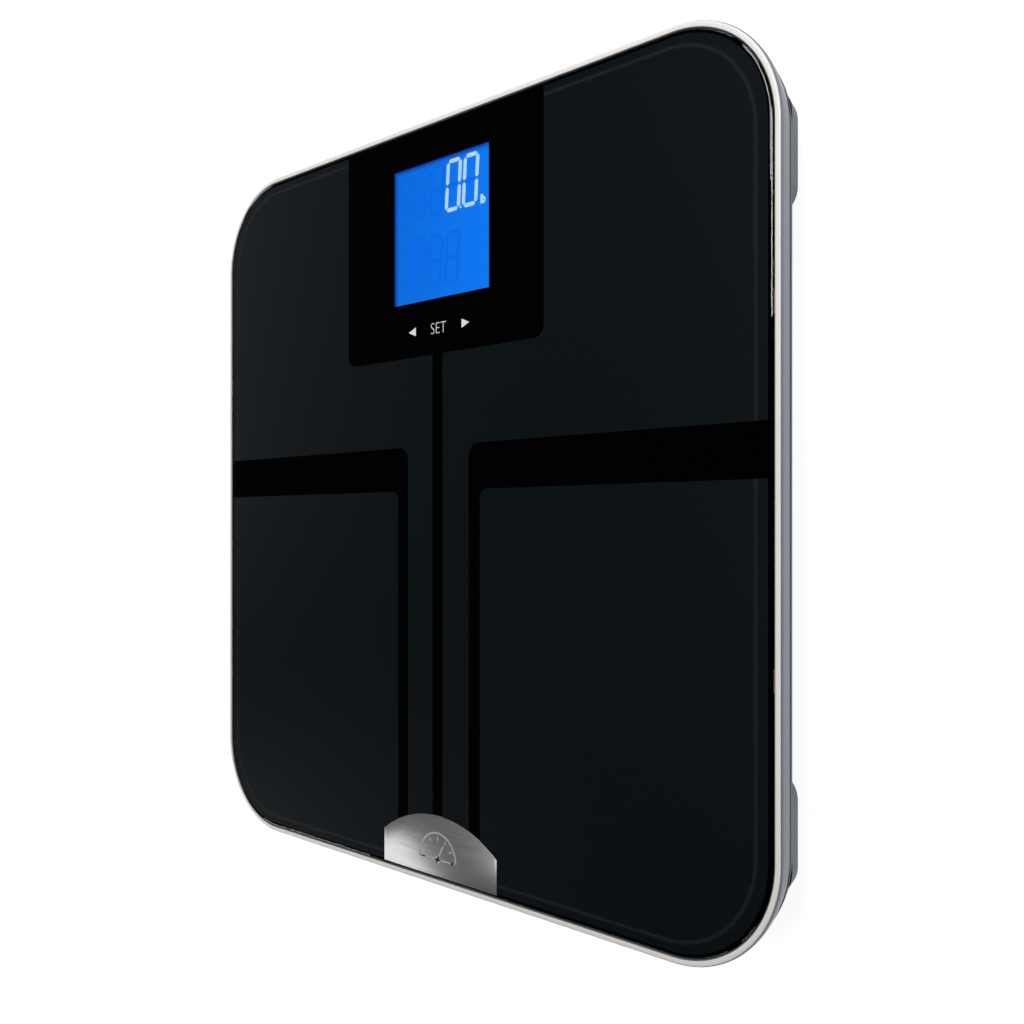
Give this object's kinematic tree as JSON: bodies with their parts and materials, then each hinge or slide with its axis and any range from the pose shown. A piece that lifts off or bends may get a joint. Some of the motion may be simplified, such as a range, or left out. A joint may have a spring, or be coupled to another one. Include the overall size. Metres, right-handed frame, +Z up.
{
  "type": "digital bathroom scale",
  "caption": "Square glass platform scale with electrode films, a rear backlit display, a metal name plate and sprung feet in corner pods.",
  "frame": {"origin": "on the floor, under the middle of the platform", "axes": "+X to the user's right, +Y towards the display end, +Z up out of the glass"},
  "size_m": [0.3186, 0.3186, 0.023],
  "materials": {
    "clear_glass": "polished",
    "black_print": "glossy",
    "electrode_film": "satin",
    "brushed_plate": "brushed",
    "rim_plastic": "satin pearl",
    "shell_plastic": "fine texture",
    "foot_rubber": "matte",
    "foot_plastic": "matte",
    "holder_plastic": "matte",
    "cell_steel": "plated",
    "gauge_sealant": "satin",
    "foam_tape": "matte foam",
    "screw_steel": "zinc plated",
    "spring_steel": "nickel plated",
    "copper_foil": "foil",
    "display_cell": "glossy",
    "light_guide": "polished",
    "strip_rubber": "satin",
    "board_laminate": "satin",
    "black_resin": "matte",
    "connector_plastic": "satin",
    "battery_sleeve": "glossy",
    "lead_jacket": "satin",
    "label_film": "satin"
  },
  "bodies": {
    "platform": {"back_print": "black_print", "backlight_panel": "light_guide", "badge_plate": "brushed_plate", "base_shell": "shell_plastic", "battery_1": "battery_sleeve", "battery_2": "battery_sleeve", "battery_3": "battery_sleeve", "battery_4": "battery_sleeve", "battery_contact_plates": "spring_steel", "battery_lead_negative": "lead_jacket", "battery_lead_positive": "lead_jacket", "battery_springs": "spring_steel", "board_chip": "black_resin", "board_screws": "screw_steel", "electrode_film_front_left": "electrode_film", "electrode_film_front_right": "electrode_film", "electrode_film_rear_left": "electrode_film", "electrode_film_rear_right": "electrode_film", "electrode_lead_front_left": "lead_jacket", "electrode_lead_front_right": "lead_jacket", "electrode_lead_rear_left": "lead_jacket", "electrode_lead_rear_right": "lead_jacket", "electrode_tabs": "copper_foil", "glass_tape": "foam_tape", "holder_screws": "screw_steel", "lcd_contact_strip": "strip_rubber", "lcd_holder": "holder_plastic", "lcd_panel": "display_cell", "lead_connectors": "connector_plastic", "load_cell_front_left": "cell_steel", "load_cell_front_right": "cell_steel", "load_cell_holder_front_left": "holder_plastic", "load_cell_holder_front_right": "holder_plastic", "load_cell_holder_rear_left": "holder_plastic", "load_cell_holder_rear_right": "holder_plastic", "load_cell_lead_front_left": "lead_jacket", "load_cell_lead_front_right": "lead_jacket", "load_cell_lead_rear_left": "lead_jacket", "load_cell_lead_rear_right": "lead_jacket", "load_cell_rear_left": "cell_steel", "load_cell_rear_right": "cell_steel", "main_board": "board_laminate", "platform_glass": "clear_glass", "rating_label": "label_film", "rim_frame": "rim_plastic", "strain_gauges": "gauge_sealant", "touch_springs": "spring_steel", "unit_switch": "black_resin"},
    "foot_front_left": {"foot_cap_front_left": "foot_plastic", "foot_pad_front_left": "foot_rubber"},
    "foot_front_right": {"foot_cap_front_right": "foot_plastic", "foot_pad_front_right": "foot_rubber"},
    "foot_rear_left": {"foot_cap_rear_left": "foot_plastic", "foot_pad_rear_left": "foot_rubber"},
    "foot_rear_right": {"foot_cap_rear_right": "foot_plastic", "foot_pad_rear_right": "foot_rubber"},
    "battery_door": {"battery_door": "shell_plastic"},
    "unit_button": {"unit_button": "shell_plastic", "unit_switch_plunger": "black_resin"}
  },
  "joints": [
    {"name": "foot_travel_front_left", "type": "slide", "parent": "platform", "child": "foot_front_left", "axis": [0, 0, 1], "range_m": [0, 0.0004], "stiffness_N_per_m": 600, "springref_m": -0.013, "deforming": ["load_cell_front_left"]},
    {"name": "foot_travel_front_right", "type": "slide", "parent": "platform", "child": "foot_front_right", "axis": [0, 0, 1], "range_m": [0, 0.0004], "stiffness_N_per_m": 600, "springref_m": -0.013, "deforming": ["load_cell_front_right"]},
    {"name": "foot_travel_rear_left", "type": "slide", "parent": "platform", "child": "foot_rear_left", "axis": [0, 0, 1], "range_m": [0, 0.0004], "stiffness_N_per_m": 600, "springref_m": -0.013, "deforming": ["load_cell_rear_left"]},
    {"name": "foot_travel_rear_right", "type": "slide", "parent": "platform", "child": "foot_rear_right", "axis": [0, 0, 1], "range_m": [0, 0.0004], "stiffness_N_per_m": 600, "springref_m": -0.013, "deforming": ["load_cell_rear_right"]},
    {"name": "battery_door_swing", "type": "hinge", "parent": "platform", "child": "battery_door", "pos_m": [0, -0.0246, 0.0054], "axis": [1, 0, 0], "range_deg": [0, 100]},
    {"name": "unit_button_press", "type": "slide", "parent": "platform", "child": "unit_button", "axis": [0, 0, 1], "range_m": [0, 0.0004], "stiffness_N_per_m": 1500, "springref_m": -0.0004}
  ]
}
